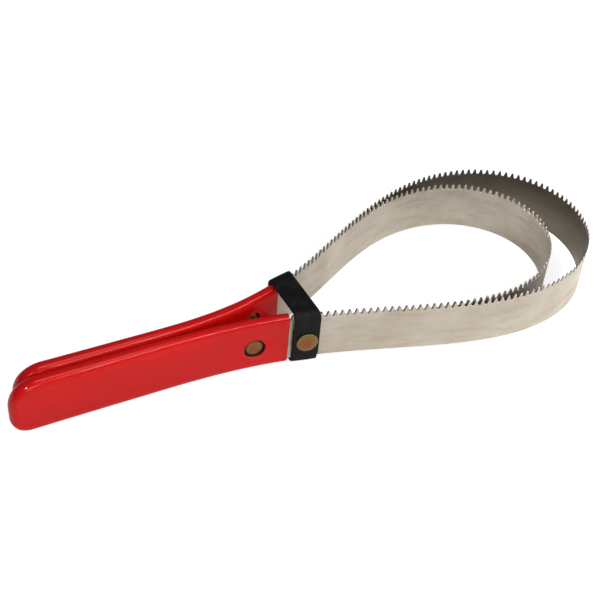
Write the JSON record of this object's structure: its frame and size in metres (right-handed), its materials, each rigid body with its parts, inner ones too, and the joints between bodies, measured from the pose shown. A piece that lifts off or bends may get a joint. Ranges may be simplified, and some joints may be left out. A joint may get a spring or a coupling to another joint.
{
  "type": "shedding blade",
  "caption": "Hand tool for pulling loose hair from a horse's coat: toothed spring-steel loops, one inside the other, with dipped grips and a snap keeper strap.",
  "frame": {"origin": "midway between the two handles, on the underside of the keeper strap, which is the lowest face", "axes": "+X along the handles towards the loop, +Y towards the far handle, +Z from the smooth edges to the tooth tips"},
  "size_m": [0.2986, 0.0974, 0.0304],
  "materials": {
    "grip_vinyl": "glossy dipped vinyl",
    "blade_steel": "satin spring steel",
    "aged_brass": "aged, stained",
    "strap_leather": "satin black"
  },
  "bodies": {
    "near_handle": {"near_grip": "grip_vinyl", "near_rivet": "aged_brass", "outer_near_end": "blade_steel", "inner_near_end": "blade_steel", "strap_base": "strap_leather", "snap_stud": "aged_brass", "snap_post": "aged_brass"},
    "outer_1": {"outer_link_1": "blade_steel"},
    "outer_2": {"outer_link_2": "blade_steel"},
    "outer_3": {"outer_link_3": "blade_steel"},
    "outer_4": {"outer_link_4": "blade_steel"},
    "outer_5": {"outer_link_5": "blade_steel"},
    "outer_6": {"outer_link_6": "blade_steel"},
    "outer_7": {"outer_link_7": "blade_steel"},
    "far_handle": {"far_grip": "grip_vinyl", "far_rivet": "aged_brass", "outer_far_end": "blade_steel", "inner_far_end": "blade_steel"},
    "inner_near_1": {"inner_near_link_1": "blade_steel"},
    "inner_near_2": {"inner_near_link_2": "blade_steel"},
    "inner_near_3": {"inner_near_link_3": "blade_steel"},
    "inner_far_1": {"inner_far_link_1": "blade_steel"},
    "inner_far_2": {"inner_far_link_2": "blade_steel"},
    "inner_far_3": {"inner_far_link_3": "blade_steel"},
    "strap_leg": {"strap_far_leg": "strap_leather"},
    "strap_span": {"strap_top": "strap_leather"},
    "strap_end": {"strap_flap": "strap_leather", "snap_socket": "aged_brass", "snap_cap": "aged_brass"}
  },
  "joints": [
    {"name": "blade_open", "type": "hinge", "parent": "near_handle", "child": "outer_1", "pos_m": [0.05931, -0.02704, 0.0152], "axis": [0, 0, -1], "range_deg": [0, 18.48]},
    {"name": "outer_flex_2", "type": "hinge", "parent": "outer_1", "child": "outer_2", "pos_m": [0.09798, -0.03473, 0.0152], "axis": [0, 0, -1], "range_deg": [0, 10.61]},
    {"name": "outer_flex_3", "type": "hinge", "parent": "outer_2", "child": "outer_3", "pos_m": [0.13667, -0.02808, 0.0152], "axis": [0, 0, -1], "range_deg": [0, 7.36]},
    {"name": "outer_flex_4", "type": "hinge", "parent": "outer_3", "child": "outer_4", "pos_m": [0.16303, 0.00047, 0.0152], "axis": [0, 0, -1], "range_deg": [0, 8.58]},
    {"name": "outer_flex_5", "type": "hinge", "parent": "outer_4", "child": "outer_5", "pos_m": [0.15873, 0.03882, 0.0152], "axis": [0, 0, -1], "range_deg": [0, 8.58]},
    {"name": "outer_flex_6", "type": "hinge", "parent": "outer_5", "child": "outer_6", "pos_m": [0.12669, 0.06082, 0.0152], "axis": [0, 0, -1], "range_deg": [0, 7.36]},
    {"name": "outer_flex_7", "type": "hinge", "parent": "outer_6", "child": "outer_7", "pos_m": [0.0875, 0.05872, 0.0152], "axis": [0, 0, -1], "range_deg": [0, 10.61]},
    {"name": "outer_flex_8", "type": "hinge", "parent": "outer_7", "child": "far_handle", "pos_m": [0.0515, 0.04266, 0.0152], "axis": [0, 0, -1], "range_deg": [0, 18.49]},
    {"name": "inner_near_flex_1", "type": "hinge", "parent": "near_handle", "child": "inner_near_1", "pos_m": [0.06262, -0.02702, 0.0152], "axis": [0, 0, -1], "range_deg": [0, 13.7]},
    {"name": "inner_near_flex_2", "type": "hinge", "parent": "inner_near_1", "child": "inner_near_2", "pos_m": [0.10157, -0.02983, 0.0152], "axis": [0, 0, -1], "range_deg": [0, 16.61]},
    {"name": "inner_near_flex_3", "type": "hinge", "parent": "inner_near_2", "child": "inner_near_3", "pos_m": [0.13456, -0.01033, 0.0152], "axis": [0, 0, -1], "range_deg": [0, 14.72]},
    {"name": "inner_far_flex_1", "type": "hinge", "parent": "far_handle", "child": "inner_far_1", "pos_m": [0.05472, 0.04337, 0.0152], "axis": [0, 0, 1], "range_deg": [0, 13.7]},
    {"name": "inner_far_flex_2", "type": "hinge", "parent": "inner_far_1", "child": "inner_far_2", "pos_m": [0.09209, 0.05474, 0.0152], "axis": [0, 0, 1], "range_deg": [0, 16.61]},
    {"name": "inner_far_flex_3", "type": "hinge", "parent": "inner_far_2", "child": "inner_far_3", "pos_m": [0.12857, 0.04304, 0.0152], "axis": [0, 0, 1], "range_deg": [0, 14.72]},
    {"name": "strap_open", "type": "hinge", "parent": "near_handle", "child": "strap_leg", "pos_m": [-0.00016, 0.01809, 0], "axis": [-0.9729, -0.2314, 0], "range_deg": [0, 88]},
    {"name": "strap_far_crease", "type": "hinge", "parent": "strap_leg", "child": "strap_span", "pos_m": [-0.00016, 0.01809, 0.0304], "axis": [-0.9729, -0.2314, 0], "range_deg": [0, 88.01]},
    {"name": "strap_near_crease", "type": "hinge", "parent": "strap_span", "child": "strap_end", "pos_m": [0.0001, -0.01324, 0.0304], "axis": [-0.9771, 0.2127, 0], "range_deg": [0, 88.01]}
  ],
  "couplings": [
    {"joint": "outer_flex_2", "follows": "blade_open", "ratio": 0.57335},
    {"joint": "outer_flex_3", "follows": "blade_open", "ratio": 0.39797},
    {"joint": "outer_flex_4", "follows": "blade_open", "ratio": 0.46388},
    {"joint": "outer_flex_5", "follows": "blade_open", "ratio": 0.46388},
    {"joint": "outer_flex_6", "follows": "blade_open", "ratio": 0.39797},
    {"joint": "outer_flex_7", "follows": "blade_open", "ratio": 0.57335},
    {"joint": "outer_flex_8", "follows": "blade_open", "ratio": 1},
    {"joint": "inner_near_flex_1", "follows": "blade_open", "ratio": 0.74057},
    {"joint": "inner_near_flex_2", "follows": "blade_open", "ratio": 0.89859},
    {"joint": "inner_near_flex_3", "follows": "blade_open", "ratio": 0.79604},
    {"joint": "inner_far_flex_1", "follows": "blade_open", "ratio": 0.74057},
    {"joint": "inner_far_flex_2", "follows": "blade_open", "ratio": 0.89859},
    {"joint": "inner_far_flex_3", "follows": "blade_open", "ratio": 0.79604},
    {"joint": "strap_far_crease", "follows": "strap_open", "ratio": 1},
    {"joint": "strap_near_crease", "follows": "strap_open", "ratio": 1}
  ]
}
